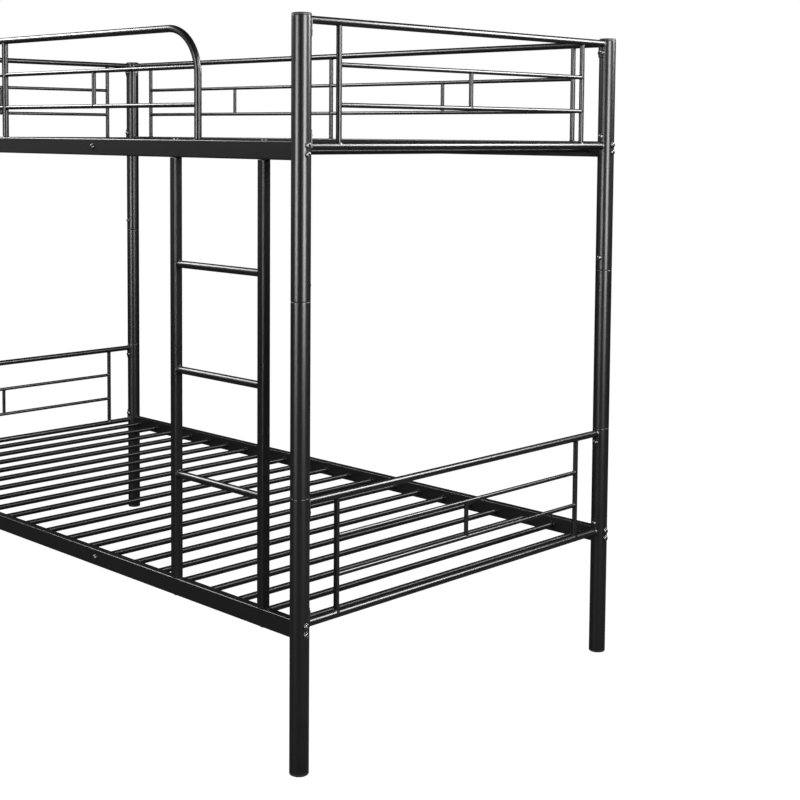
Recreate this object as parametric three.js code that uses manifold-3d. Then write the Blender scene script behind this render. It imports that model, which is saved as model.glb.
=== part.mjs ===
// Twin-over-twin metal bunk bed with a ladder and guard rails, as bolted-together tube work.
// Millimetres, +Z up. X runs along the bed (+X is the ladder end), Y across it (the front is -Y).
// The origin is on the floor under the middle of the bed.
import * as THREE from "three";
import { mergeVertices } from "three/addons/utils/BufferGeometryUtils.js";
import Module from "manifold-3d";

const wasm = await Module();
wasm.setup();

// ---- driving dimensions ----
const POST_SPACING_X = 1950; // centre to centre, along the bed
const POST_SPACING_Y = 1010; // centre to centre, across the bed
const POST_RADIUS = 20;
const POST_WALL = 1;
const MODULE_HEIGHT = 565; // lower post with its foot, and upper post with its cap
const EXTENSION_HEIGHT = 392.5; // the middle tube between them
const FIT_GAP = 0.3; // left between pieces that touch
const CAP_THICKNESS = 5;
const CAP_EDGE = 2; // rounding of a cap's outer edge
const PLUG_LENGTH = 20;
const SPIGOT_LENGTH = 45;
const SPIGOT_CLEARANCE = 0.4;
const SPIGOT_WALL = 1.2;

// Heights above the bottom of each module, the same in both beds.
const RAIL_TOP = 315.5;
const RAIL_HEIGHT = 38;
const RAIL_WIDTH = 20;
const RAIL_WALL = 1;
const RAIL_CORNER = 2.5;
const SLAT_AXIS = 294.5;
const BOTTOM_TUBE_AXIS = 305.5;
const LOWER_ROD_AXIS = 388;
const UPPER_ROD_AXIS = 468.5;
const TOP_TUBE_AXIS = 552;

const TUBE_RADIUS = 8; // panel tubes, guard tubes and rungs
const TUBE_WALL = 1;
const UPRIGHT_RADIUS = 6; // uprights of panels and of the back guard
const ROD_RADIUS = 5;
const SPACER_RADIUS = 4.8; // the short bars between two rods
const PANEL_UPRIGHT_OFFSET = 403;

const PLATE_THICKNESS = 2; // curved plates that clasp the posts
const PLATE_HALF_ANGLE = 0.5; // radians
const PLATE_ABOVE_TUBE = 7;
const PLATE_LENGTH = 41;

const SLATS_PER_DECK = 21;
const SLATS_PER_ROW = 3;
const SLAT_RADIUS = 7;
const SLAT_WALL = 0.7;
const STRAP_WIDTH = 14;
const STRAP_THICKNESS = 2.5;
const STRAP_BITE = 0.5; // how far a strap is sunk into the slats it joins

const BACK_UPRIGHT_X = 872; // end uprights of the back guard
const FRONT_LEG_X = 652; // the bent leg of the front guard
const FRONT_BEND_RADIUS = 100;
const FRONT_UPRIGHT_RADIUS = 7.7;

const LADDER_CENTRE_X = 720.5;
const STILE_SPACING = 288;
const STILE_SIZE = 20;
const STILE_CORNER = 3;
const STILE_WALL = 1.2;
const RUNG_COUNT = 3;

const BOLT_RADIUS = 3;
const BOLT_HOLE_RADIUS = 3.4;
const BOLT_HEAD_RADIUS = 6.5;
const BOLT_HEAD_HEIGHT = 3.2;
const BOLT_HEAD_RIM = 1.2; // straight part of the head
const BOLT_CROWN_RADIUS = 3.9; // flat top of the head
const JOINT_BOLT_RISE = 31; // above the joint of middle tube and upper post
const JOINT_BOLT_LENGTH = 9;
const LADDER_PLUG_LENGTH = 18;

// ---- derived dimensions ----
const HALF_X = POST_SPACING_X / 2;
const HALF_Y = POST_SPACING_Y / 2;
const UPPER_BASE = MODULE_HEIGHT + EXTENSION_HEIGHT;
const TOTAL_HEIGHT = UPPER_BASE + MODULE_HEIGHT;
const POST_BORE = POST_RADIUS - POST_WALL;
const SPIGOT_RADIUS = POST_BORE - SPIGOT_CLEARANCE;
const SLAT_PITCH = POST_SPACING_X / SLATS_PER_DECK;
const SLAT_LENGTH = POST_SPACING_Y - RAIL_WIDTH - 2 * FIT_GAP;
const BEDS = [
  { name: "lower", base: 0 },
  { name: "upper", base: UPPER_BASE },
];
const CORNERS = [
  { name: "front_left", x: -1, y: -1 },
  { name: "front_right", x: 1, y: -1 },
  { name: "back_left", x: -1, y: 1 },
  { name: "back_right", x: 1, y: 1 },
];
const ENDS = [
  { name: "left", x: -1 },
  { name: "right", x: 1 },
];
const SIDES = [
  { name: "front", y: -1 },
  { name: "back", y: 1 },
];
const POST_SIDES = 16;
const TUBE_SIDES = 10;
const ROD_SIDES = 8;
const SLAT_SIDES = 8;
const BOLT_SIDES = 10;
const BEND_STEPS = 6;
const CORNER_STEPS = 2;
const PLATE_STEPS = 4;
const MERGE_TOLERANCE = 1e-4;
const OVERRUN = 5; // how far a cutting bar passes the face it opens
const BEND_OVERLAP = 0.5; // how far straight bars run into a bend
// A rail end is hollowed to clear the post's corners as well as its flats.
const COPE_RADIUS = (POST_RADIUS + FIT_GAP) / Math.cos(Math.PI / POST_SIDES);

// ---- finishes ----
const finish = (colour, roughness, metalness) => () =>
  new THREE.MeshStandardMaterial({ color: colour, roughness, metalness });
const postSteel = finish(0x1c1c1d, 0.38, 0.35);
const railSteel = finish(0x222223, 0.45, 0.3);
const slatSteel = finish(0x1d1d1e, 0.42, 0.3);
const capPlastic = finish(0x141415, 0.55, 0);
const boltSteel = finish(0x2a2a2c, 0.3, 0.7);

const bed = new THREE.Group();

// ---- solids ----
// A closed three.js geometry becomes a solid that can be joined and cut.
function solid(geometry) {
  const bare = geometry.index ? geometry.toNonIndexed() : geometry;
  bare.deleteAttribute("normal");
  bare.deleteAttribute("uv");
  const merged = mergeVertices(bare, MERGE_TOLERANCE);
  return new wasm.Manifold(
    new wasm.Mesh({
      numProp: 3,
      vertProperties: new Float32Array(merged.attributes.position.array),
      triVerts: new Uint32Array(merged.index.array),
    }),
  );
}

function geometryOf(shape) {
  const mesh = shape.getMesh();
  const geometry = new THREE.BufferGeometry();
  geometry.setAttribute("position", new THREE.BufferAttribute(new Float32Array(mesh.vertProperties), 3));
  geometry.setIndex(new THREE.BufferAttribute(new Uint32Array(mesh.triVerts), 1));
  geometry.computeVertexNormals();
  return geometry;
}

function join(shapes) {
  return shapes.reduce((whole, next) => whole.add(next));
}

function place(name, geometry, material) {
  const mesh = new THREE.Mesh(geometry, material());
  mesh.name = name;
  bed.add(mesh);
  return mesh;
}

// A round bar between two points that lie on a line along X, Y or Z.
function bar(from, to, radius, sides) {
  const start = new THREE.Vector3(...from);
  const end = new THREE.Vector3(...to);
  const run = new THREE.Vector3().subVectors(end, start);
  const geometry = new THREE.CylinderGeometry(radius, radius, run.length(), sides);
  geometry.rotateY(Math.PI / sides);
  const heading = run.clone().normalize();
  geometry.applyQuaternion(new THREE.Quaternion().setFromUnitVectors(new THREE.Vector3(0, 1, 0), heading));
  geometry.translate(...start.clone().addScaledVector(run, 0.5).toArray());
  return solid(geometry);
}

// A body turned about a vertical axis; the profile is a list of [radius, height].
function turned(profile, sides) {
  const points = profile.map(([radius, height]) => new THREE.Vector2(radius, height));
  const geometry = new THREE.LatheGeometry(points, sides);
  geometry.rotateX(Math.PI / 2);
  return geometry;
}

function ring(outer, inner, bottom, top) {
  return [[inner, bottom], [outer, bottom], [outer, top], [inner, top], [inner, bottom]];
}

function roundedRectangle(width, height, corner) {
  const shape = new THREE.Shape();
  const w = width / 2;
  const h = height / 2;
  shape.moveTo(-w + corner, -h);
  shape.lineTo(w - corner, -h);
  shape.absarc(w - corner, -h + corner, corner, -Math.PI / 2, 0, false);
  shape.lineTo(w, h - corner);
  shape.absarc(w - corner, h - corner, corner, 0, Math.PI / 2, false);
  shape.lineTo(-w + corner, h);
  shape.absarc(-w + corner, h - corner, corner, Math.PI / 2, Math.PI, false);
  shape.lineTo(-w, -h + corner);
  shape.absarc(-w + corner, -h + corner, corner, Math.PI, 1.5 * Math.PI, false);
  return shape;
}

// A hollow square or rectangular tube along +Z with rounded corners.
function boxTube(width, height, corner, wall, length) {
  const shape = roundedRectangle(width, height, corner);
  const inner = roundedRectangle(width - 2 * wall, height - 2 * wall, corner - wall);
  shape.holes.push(new THREE.Path(inner.getPoints(CORNER_STEPS).reverse()));
  return new THREE.ExtrudeGeometry(shape, {
    depth: length,
    bevelEnabled: false,
    curveSegments: CORNER_STEPS,
  });
}

// The curved plate that clasps a post; direction is the angle it faces, from +X towards +Y.
function claspPlate(postX, postY, direction, bottom, height) {
  const inner = POST_RADIUS + FIT_GAP;
  const outer = inner + PLATE_THICKNESS;
  const shape = new THREE.Shape();
  const from = direction - PLATE_HALF_ANGLE;
  const to = direction + PLATE_HALF_ANGLE;
  shape.absarc(0, 0, outer, from, to, false);
  shape.absarc(0, 0, inner, to, from, true);
  const geometry = new THREE.ExtrudeGeometry(shape, {
    depth: height,
    bevelEnabled: false,
    curveSegments: PLATE_STEPS,
  });
  geometry.translate(postX, postY, bottom);
  return solid(geometry);
}

// ---- posts, joints and caps ----
function addPosts(corner) {
  const x = corner.x * HALF_X;
  const y = corner.y * HALF_Y;
  const boltHeight = UPPER_BASE + JOINT_BOLT_RISE;
  const boltReach = -corner.y * (POST_RADIUS + OVERRUN);
  const boltEnd = [0, boltReach, boltHeight];
  const boltHole = bar([0, 0, boltHeight], boltEnd, BOLT_HOLE_RADIUS, BOLT_SIDES);

  const lowerEnd = CAP_THICKNESS + FIT_GAP;
  const lowerPost = turned(ring(POST_RADIUS, POST_BORE, lowerEnd, MODULE_HEIGHT), POST_SIDES);
  place(`lower_post_${corner.name}`, lowerPost, postSteel).position.set(x, y, 0);

  const shoulder = MODULE_HEIGHT + FIT_GAP;
  const upperShoulder = UPPER_BASE - FIT_GAP;
  const bore = SPIGOT_RADIUS - SPIGOT_WALL;
  const extension = solid(turned([
    [bore, shoulder - SPIGOT_LENGTH],
    [SPIGOT_RADIUS, shoulder - SPIGOT_LENGTH],
    [SPIGOT_RADIUS, shoulder],
    [POST_RADIUS, shoulder],
    [POST_RADIUS, upperShoulder],
    [SPIGOT_RADIUS, upperShoulder],
    [SPIGOT_RADIUS, upperShoulder + SPIGOT_LENGTH],
    [bore, upperShoulder + SPIGOT_LENGTH],
    [bore, shoulder - SPIGOT_LENGTH],
  ], POST_SIDES));
  const middlePost = geometryOf(extension.subtract(boltHole));
  place(`middle_post_${corner.name}`, middlePost, postSteel).position.set(x, y, 0);

  const upperEnd = TOTAL_HEIGHT - CAP_THICKNESS - FIT_GAP;
  const upperTube = solid(turned(ring(POST_RADIUS, POST_BORE, UPPER_BASE, upperEnd), POST_SIDES));
  const upperPost = geometryOf(upperTube.subtract(boltHole));
  place(`upper_post_${corner.name}`, upperPost, postSteel).position.set(x, y, 0);

  place(`foot_cap_${corner.name}`, turned(capProfile(), POST_SIDES), capPlastic).position.set(x, y, 0);
  const topCap = place(`top_cap_${corner.name}`, turned(capProfile(), POST_SIDES), capPlastic);
  topCap.rotation.x = Math.PI;
  topCap.position.set(x, y, TOTAL_HEIGHT);

  addBolt(`joint_bolt_${corner.name}`, JOINT_BOLT_LENGTH, (bolt) => {
    bolt.rotation.x = corner.y * Math.PI / 2;
    bolt.position.set(x, y - corner.y * (POST_RADIUS + FIT_GAP), boltHeight);
  });
}

function capProfile() {
  const plug = POST_BORE - FIT_GAP;
  return [
    [0, 0],
    [POST_RADIUS - CAP_EDGE, 0],
    [POST_RADIUS, CAP_EDGE],
    [POST_RADIUS, CAP_THICKNESS],
    [plug, CAP_THICKNESS],
    [plug, CAP_THICKNESS + PLUG_LENGTH],
    [0, CAP_THICKNESS + PLUG_LENGTH],
  ];
}

// A button-head bolt whose head stands on z = 0 and whose shank points down.
function addBolt(name, length, setPlace) {
  const profile = [
    [0, -length],
    [BOLT_RADIUS, -length],
    [BOLT_RADIUS, 0],
    [BOLT_HEAD_RADIUS, 0],
    [BOLT_HEAD_RADIUS, BOLT_HEAD_RIM],
    [BOLT_CROWN_RADIUS, BOLT_HEAD_HEIGHT],
    [0, BOLT_HEAD_HEIGHT],
  ];
  setPlace(place(name, turned(profile, BOLT_SIDES), boltSteel));
}

// ---- welded end panels ----
function addPanel(bedLevel, end) {
  const x = end.x * HALF_X;
  const reach = HALF_Y - POST_RADIUS - PLATE_THICKNESS / 2;
  const level = (height) => bedLevel.base + height;
  const acrossBar = (height, length, radius, sides) =>
    bar([x, -length, level(height)], [x, length, level(height)], radius, sides);
  const pieces = [
    acrossBar(TOP_TUBE_AXIS, reach, TUBE_RADIUS, TUBE_SIDES),
    acrossBar(BOTTOM_TUBE_AXIS, reach, TUBE_RADIUS, TUBE_SIDES),
    acrossBar(UPPER_ROD_AXIS, PANEL_UPRIGHT_OFFSET, ROD_RADIUS, ROD_SIDES),
    acrossBar(LOWER_ROD_AXIS, PANEL_UPRIGHT_OFFSET, ROD_RADIUS, ROD_SIDES),
    bar([x, 0, level(LOWER_ROD_AXIS)], [x, 0, level(UPPER_ROD_AXIS)], SPACER_RADIUS, ROD_SIDES),
  ];
  for (const side of SIDES) {
    const y = side.y * PANEL_UPRIGHT_OFFSET;
    const foot = [x, y, level(BOTTOM_TUBE_AXIS)];
    pieces.push(bar(foot, [x, y, level(TOP_TUBE_AXIS)], UPRIGHT_RADIUS, TUBE_SIDES));
    const facing = -side.y * Math.PI / 2;
    const hang = level(TOP_TUBE_AXIS + PLATE_ABOVE_TUBE - PLATE_LENGTH);
    const stand = level(BOTTOM_TUBE_AXIS - PLATE_ABOVE_TUBE);
    pieces.push(claspPlate(x, side.y * HALF_Y, facing, hang, PLATE_LENGTH));
    pieces.push(claspPlate(x, side.y * HALF_Y, facing, stand, PLATE_LENGTH));
  }
  const bores = [TOP_TUBE_AXIS, BOTTOM_TUBE_AXIS].map((height) =>
    acrossBar(height, HALF_Y, TUBE_RADIUS - TUBE_WALL, TUBE_SIDES));
  const panel = join(pieces).subtract(join(bores));
  place(`${bedLevel.name}_end_panel_${end.name}`, geometryOf(panel), railSteel);
}

// ---- side rails ----
function addRail(bedLevel, side) {
  const middle = bedLevel.base + RAIL_TOP - RAIL_HEIGHT / 2;
  const tube = boxTube(RAIL_HEIGHT, RAIL_WIDTH, RAIL_CORNER, RAIL_WALL, POST_SPACING_X);
  tube.rotateY(Math.PI / 2);
  tube.translate(-HALF_X, side.y * HALF_Y, middle);
  let rail = solid(tube);
  for (const end of ENDS) {
    const foot = [end.x * HALF_X, side.y * HALF_Y, middle - RAIL_HEIGHT];
    const head = [end.x * HALF_X, side.y * HALF_Y, middle + RAIL_HEIGHT];
    rail = rail.subtract(bar(foot, head, COPE_RADIUS, POST_SIDES));
  }
  if (side.name === "front") {
    for (const stileX of stilePlaces()) {
      const hole = [stileX, side.y * HALF_Y, middle - RAIL_HEIGHT];
      const top = [stileX, side.y * HALF_Y, middle + RAIL_HEIGHT];
      rail = rail.subtract(bar(hole, top, BOLT_HOLE_RADIUS, BOLT_SIDES));
    }
  }
  place(`${bedLevel.name}_side_rail_${side.name}`, geometryOf(rail), railSteel);
}

// ---- slats between the side rails, three to a row with a thin strip under their back ends ----
function addSlatRow(bedLevel, row) {
  const height = bedLevel.base + SLAT_AXIS;
  const first = -HALF_X + SLAT_PITCH / 2 + row * SLATS_PER_ROW * SLAT_PITCH;
  const places = Array.from({ length: SLATS_PER_ROW }, (_, n) => first + n * SLAT_PITCH);
  const half = SLAT_LENGTH / 2;
  const slatBar = (x, radius, length) => bar([x, -length, height], [x, length, height], radius, SLAT_SIDES);
  const strap = new THREE.BoxGeometry(places.at(-1) - first + STRAP_WIDTH, STRAP_WIDTH, STRAP_THICKNESS);
  const undersideDrop = SLAT_RADIUS * Math.cos(Math.PI / SLAT_SIDES) - STRAP_BITE + STRAP_THICKNESS / 2;
  strap.translate(first + SLAT_PITCH, half - STRAP_WIDTH / 2, height - undersideDrop);
  const whole = join([solid(strap), ...places.map((x) => slatBar(x, SLAT_RADIUS, half))]);
  const bores = join(places.map((x) => slatBar(x, SLAT_RADIUS - SLAT_WALL, half + OVERRUN)));
  place(`${bedLevel.name}_slat_row_${row + 1}`, geometryOf(whole.subtract(bores)), slatSteel);
}

// ---- guard rails, standing on the upper side rails ----
const guardFoot = UPPER_BASE + RAIL_TOP + FIT_GAP;
const guardTop = UPPER_BASE + TOP_TUBE_AXIS;

// Rods and their mid-bay spacers between the uprights of a guard.
function guardBays(y, uprights) {
  const pieces = [];
  const lowerRod = UPPER_BASE + LOWER_ROD_AXIS;
  const upperRod = UPPER_BASE + UPPER_ROD_AXIS;
  for (const height of [lowerRod, upperRod]) {
    pieces.push(bar([uprights[0], y, height], [uprights.at(-1), y, height], ROD_RADIUS, ROD_SIDES));
  }
  for (let bay = 0; bay + 1 < uprights.length; bay += 1) {
    const x = (uprights[bay] + uprights[bay + 1]) / 2;
    pieces.push(bar([x, y, lowerRod], [x, y, upperRod], SPACER_RADIUS, ROD_SIDES));
  }
  return pieces;
}

function guardPlate(endX, y) {
  const facing = endX < 0 ? 0 : Math.PI;
  return claspPlate(endX, y, facing, guardTop + PLATE_ABOVE_TUBE - PLATE_LENGTH, PLATE_LENGTH);
}

function addBackGuard() {
  const y = HALF_Y;
  const reach = HALF_X - POST_RADIUS - PLATE_THICKNESS / 2;
  const uprights = [-BACK_UPRIGHT_X, 0, BACK_UPRIGHT_X];
  const pieces = [
    bar([-reach, y, guardTop], [reach, y, guardTop], TUBE_RADIUS, TUBE_SIDES),
    ...uprights.map((x) => bar([x, y, guardFoot], [x, y, guardTop], UPRIGHT_RADIUS, TUBE_SIDES)),
    ...guardBays(y, uprights),
    guardPlate(-HALF_X, y),
    guardPlate(HALF_X, y),
  ];
  const bore = bar([-HALF_X, y, guardTop], [HALF_X, y, guardTop], TUBE_RADIUS - TUBE_WALL, TUBE_SIDES);
  place("guard_rail_back", geometryOf(join(pieces).subtract(bore)), railSteel);
}

// A quarter circle in the plane of the front guard, from its top tube down into its leg.
class GuardBend extends THREE.Curve {
  constructor(y) {
    super();
    this.y = y;
  }

  getPoint(t, target = new THREE.Vector3()) {
    const angle = Math.PI / 2 * (1 - t);
    return target.set(
      FRONT_LEG_X - FRONT_BEND_RADIUS * (1 - Math.cos(angle)),
      this.y,
      guardTop - FRONT_BEND_RADIUS * (1 - Math.sin(angle)),
    );
  }
}

function roundSection(radius, sides) {
  const corners = Array.from({ length: sides }, (_, n) => {
    const angle = (n + 0.5) * 2 * Math.PI / sides;
    return new THREE.Vector2(radius * Math.cos(angle), radius * Math.sin(angle));
  });
  return new THREE.Shape(corners);
}

// The front guard's tube: along the top, round the bend and down to the rail.
function bentTube(y, startX, radius, endHeight) {
  const bendX = FRONT_LEG_X - FRONT_BEND_RADIUS + BEND_OVERLAP;
  const bendZ = guardTop - FRONT_BEND_RADIUS + BEND_OVERLAP;
  const options = { steps: BEND_STEPS, bevelEnabled: false, extrudePath: new GuardBend(y) };
  return join([
    bar([startX, y, guardTop], [bendX, y, guardTop], radius, TUBE_SIDES),
    solid(new THREE.ExtrudeGeometry(roundSection(radius, TUBE_SIDES), options)),
    bar([FRONT_LEG_X, y, bendZ], [FRONT_LEG_X, y, endHeight], radius, TUBE_SIDES),
  ]);
}

function addFrontGuard() {
  const y = -HALF_Y;
  const startX = -HALF_X + POST_RADIUS + PLATE_THICKNESS / 2;
  const uprights = [-BACK_UPRIGHT_X, (FRONT_LEG_X - BACK_UPRIGHT_X) / 2];
  const pieces = [
    bentTube(y, startX, TUBE_RADIUS, guardFoot),
    ...uprights.map((x) => bar([x, y, guardFoot], [x, y, guardTop], FRONT_UPRIGHT_RADIUS, TUBE_SIDES)),
    ...guardBays(y, [...uprights, FRONT_LEG_X]),
    guardPlate(-HALF_X, y),
  ];
  const bore = bentTube(y, -HALF_X, TUBE_RADIUS - TUBE_WALL, guardFoot - OVERRUN);
  place("guard_rail_front", geometryOf(join(pieces).subtract(bore)), railSteel);
}

// ---- ladder ----
function stilePlaces() {
  return [LADDER_CENTRE_X - STILE_SPACING / 2, LADDER_CENTRE_X + STILE_SPACING / 2];
}

function addLadder() {
  const bottom = RAIL_TOP + FIT_GAP;
  const top = UPPER_BASE + RAIL_TOP - RAIL_HEIGHT - FIT_GAP;
  const stepHeight = (top - bottom) / (RUNG_COUNT + 1);
  const [left, right] = stilePlaces();
  const pieces = [left, right].map((x) => {
    const stile = boxTube(STILE_SIZE, STILE_SIZE, STILE_CORNER, STILE_WALL, top - bottom);
    stile.translate(x, -HALF_Y, bottom);
    return solid(stile);
  });
  const bores = [];
  const inner = STILE_SIZE / 2;
  for (let n = 1; n <= RUNG_COUNT; n += 1) {
    const height = bottom + n * stepHeight;
    const rung = (radius, reach) =>
      bar([left + reach, -HALF_Y, height], [right - reach, -HALF_Y, height], radius, TUBE_SIDES);
    pieces.push(rung(TUBE_RADIUS, inner - STILE_WALL / 2));
    bores.push(rung(TUBE_RADIUS - TUBE_WALL, inner - 2 * STILE_WALL));
  }
  // Threaded plugs in the stile ends take the ladder bolts.
  const hollow = STILE_SIZE - STILE_WALL;
  for (const x of [left, right]) {
    for (const middle of [bottom + LADDER_PLUG_LENGTH / 2, top - LADDER_PLUG_LENGTH / 2]) {
      const plug = new THREE.BoxGeometry(hollow, hollow, LADDER_PLUG_LENGTH);
      plug.translate(x, -HALF_Y, middle);
      pieces.push(solid(plug));
      const from = [x, -HALF_Y, middle - LADDER_PLUG_LENGTH];
      const to = [x, -HALF_Y, middle + LADDER_PLUG_LENGTH];
      bores.push(bar(from, to, BOLT_HOLE_RADIUS, BOLT_SIDES));
    }
  }
  place("ladder", geometryOf(join(pieces).subtract(join(bores))), railSteel);
}

function addLadderBolts() {
  const length = RAIL_HEIGHT + LADDER_PLUG_LENGTH;
  stilePlaces().forEach((x, n) => {
    const side = ENDS[n].name;
    addBolt(`ladder_bolt_upper_${side}`, length, (bolt) => {
      bolt.position.set(x, -HALF_Y, UPPER_BASE + RAIL_TOP + FIT_GAP);
    });
    addBolt(`ladder_bolt_lower_${side}`, length, (bolt) => {
      bolt.rotation.x = Math.PI;
      bolt.position.set(x, -HALF_Y, RAIL_TOP - RAIL_HEIGHT - FIT_GAP);
    });
  });
}

// ---- the whole bed ----
CORNERS.forEach(addPosts);
for (const bedLevel of BEDS) {
  ENDS.forEach((end) => addPanel(bedLevel, end));
  SIDES.forEach((side) => addRail(bedLevel, side));
  for (let row = 0; row < SLATS_PER_DECK / SLATS_PER_ROW; row += 1) {
    addSlatRow(bedLevel, row);
  }
}
addBackGuard();
addFrontGuard();
addLadder();
addLadderBolts();

export default bed;
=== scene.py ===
"""Twin-over-twin metal bunk bed with a ladder, dressed around its fixed frame.

Metres, +Z up. X runs along the bed with the ladder end at +X, and the front is -Y.
Every place comes from the frame's boxes, and every size that the boxes don't hold is a field
of the sub-assembly it belongs to.
"""

import logging
import math
from collections.abc import Sequence
from dataclasses import dataclass
from enum import Enum
from typing import Any

import bmesh
import bpy
from mathutils import Matrix, Vector


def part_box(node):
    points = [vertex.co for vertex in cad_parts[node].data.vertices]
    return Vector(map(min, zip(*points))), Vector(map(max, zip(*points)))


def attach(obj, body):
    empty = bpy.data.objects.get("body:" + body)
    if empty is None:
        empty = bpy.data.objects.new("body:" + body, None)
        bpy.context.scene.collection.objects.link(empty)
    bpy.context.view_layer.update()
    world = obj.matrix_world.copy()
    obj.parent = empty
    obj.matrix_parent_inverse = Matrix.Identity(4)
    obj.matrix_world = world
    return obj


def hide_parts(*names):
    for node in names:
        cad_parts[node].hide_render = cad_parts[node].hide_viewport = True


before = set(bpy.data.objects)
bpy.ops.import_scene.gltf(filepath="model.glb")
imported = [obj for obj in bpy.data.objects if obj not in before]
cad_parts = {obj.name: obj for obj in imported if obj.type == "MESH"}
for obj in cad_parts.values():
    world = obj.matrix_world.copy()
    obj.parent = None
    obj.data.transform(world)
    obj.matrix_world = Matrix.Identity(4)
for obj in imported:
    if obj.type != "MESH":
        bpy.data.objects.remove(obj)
log = logging.getLogger("bunk_bed")

MM = 0.001
BODY = "root"
ROUND = 56
ROD_ROUND = 32
QUARTER = math.pi / 2
EDGE = "edge"
ALONG = Vector((1, 0, 0))
ACROSS = Vector((0, 1, 0))
UP = Vector((0, 0, 1))

Ring = Sequence[Vector]
Seat = tuple[Vector, Vector]
Colour = tuple[float, float, float]


class Deck(Enum):
    """The two beds, by the first word of their frame nodes."""

    LOWER = "lower"
    UPPER = "upper"


class Opposite(Enum):
    """One of two opposite places, on the minus or the plus side of an axis."""

    @property
    def word(self) -> str:
        """Its word in a node name."""
        return self.name.lower()


class End(Opposite):
    """The two ends of the bed."""

    LEFT = -1
    RIGHT = 1

    @property
    def out(self) -> Vector:
        """The direction out of this end."""
        return self.value * ALONG


class Side(Opposite):
    """The front and the back of the bed."""

    FRONT = -1
    BACK = 1

    @property
    def out(self) -> Vector:
        """The direction out of this side."""
        return self.value * ACROSS


class Slot(Enum):
    """The record's material slots."""

    POST = "post_steel"
    RAIL = "rail_steel"
    SLAT = "slat_steel"
    CAP = "cap_plastic"
    BOLT = "bolt_steel"


@dataclass(frozen=True)
class Corner:
    """One corner of the bed, where a column of posts stands."""

    side: Side
    end: End

    @property
    def name(self) -> str:
        """The corner's part of a node name."""
        return f"{self.side.word}_{self.end.word}"


CORNERS = [Corner(side, end) for side in Side for end in End]


def middle(node: str) -> Vector:
    """The middle of a frame node's box."""
    low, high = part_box(node)
    return (low + high) / 2


# ---- meshes ----
class Skin:
    """Gathers closed shells for one mesh, each made of rings of points."""

    def __init__(self) -> None:
        """Starts with nothing in it."""
        self.points: list[Vector] = []
        self.faces: list[tuple[int, ...]] = []
        self.edge: list[float] = []

    def shell(self, rings: Sequence[Ring], loop: bool = False, worn: Sequence[float] = ()) -> None:
        """Adds a closed shell.

        Args:
            rings: Rings with the same number of points, in order along the shell.
            loop: True to join the last ring to the first, False to close both ends.
            worn: How much each ring lies on an edge, 0 to 1; all 0 if left out.
        """
        start = len(self.points)
        count = len(rings[0])
        for index, ring in enumerate(rings):
            self.points.extend(ring)
            self.edge.extend([worn[index] if worn else 0.0] * count)
        last = len(rings) if loop else len(rings) - 1
        for row in range(last):
            near = start + row * count
            far = start + (row + 1) % len(rings) * count
            for n in range(count):
                m = (n + 1) % count
                self.faces.append((near + n, near + m, far + m, far + n))
        if not loop:
            self.faces.append(tuple(range(start, start + count)))
            self.faces.append(tuple(range(start + last * count, start + last * count + count)))

    def mesh(self, name: str, sharp: float) -> bpy.types.Mesh:
        """Makes the mesh, smooth apart from its sharp edges.

        Args:
            name: The mesh's name.
            sharp: The angle between faces, in degrees, past which an edge is sharp.

        Returns:
            The mesh, with its faces pointing out.
        """
        mesh = bpy.data.meshes.new(name)
        mesh.from_pydata(self.points, [], self.faces)
        shape = bmesh.new()
        shape.from_mesh(mesh)
        bmesh.ops.recalc_face_normals(shape, faces=shape.faces)
        shape.to_mesh(mesh)
        shape.free()
        mesh.attributes.new(EDGE, "FLOAT", "POINT").data.foreach_set("value", self.edge)
        smooth(mesh, sharp)
        return mesh


def smooth(mesh: bpy.types.Mesh, sharp: float) -> None:
    """Shades a mesh smooth, with edges sharp past an angle in degrees."""
    mesh.polygons.foreach_set("use_smooth", [True] * len(mesh.polygons))
    mesh.set_sharp_from_angle(angle=math.radians(sharp))
    mesh.update()


def circle(centre: Vector, across: Vector, over: Vector, radius: float, sides: int) -> list[Vector]:
    """A ring of points round a centre, in the plane of two unit vectors.

    Args:
        centre: The ring's centre.
        across: The direction of the first point.
        over: The direction a quarter turn on.
        radius: The ring's radius.
        sides: How many points it has.

    Returns:
        The points.
    """
    turns = (math.tau * n / sides for n in range(sides))
    return [centre + radius * (math.cos(t) * across + math.sin(t) * over) for t in turns]


def rounded(width: float, height: float, corner: float, steps: int,
            flats: int = 1) -> list[tuple[float, float]]:
    """The outline of a rectangle with rounded corners.

    Args:
        width: Its size across.
        height: Its size up.
        corner: Its corner radius.
        steps: How many lengths make up each corner.
        flats: How many lengths make up each side.

    Returns:
        Points round the outline, as (across, up) from its middle.
    """
    points = []
    for quarter, (right, up) in enumerate(((1, -1), (1, 1), (-1, 1), (-1, -1))):
        end = quarter * QUARTER
        x, y = right * (width / 2 - corner), up * (height / 2 - corner)
        for n in range(steps + 1):
            turn = end - QUARTER + QUARTER * n / steps
            points.append((x + corner * math.cos(turn), y + corner * math.sin(turn)))
        x, y = points[-1]
        run = (width if quarter % 2 else height) - 2 * corner
        for n in range(1, flats):
            reach = run * n / flats
            points.append((x - reach * math.sin(end), y + reach * math.cos(end)))
    return points


def lathe(skin: Skin, axis: Vector, profile: Sequence[tuple[float, float]],
          loop: bool = True, worn: Sequence[float] = ()) -> None:
    """Adds a shell turned about a vertical axis.

    Args:
        skin: Where it goes.
        axis: A point on the axis.
        profile: Radius and height of each ring.
        loop: True where the profile closes on itself, as on a tube.
        worn: How much each ring lies on an edge.
    """
    rings = [circle(Vector((axis.x, axis.y, z)), ALONG, ACROSS, radius, ROUND) for radius, z in profile]
    skin.shell(rings, loop, worn)


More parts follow.
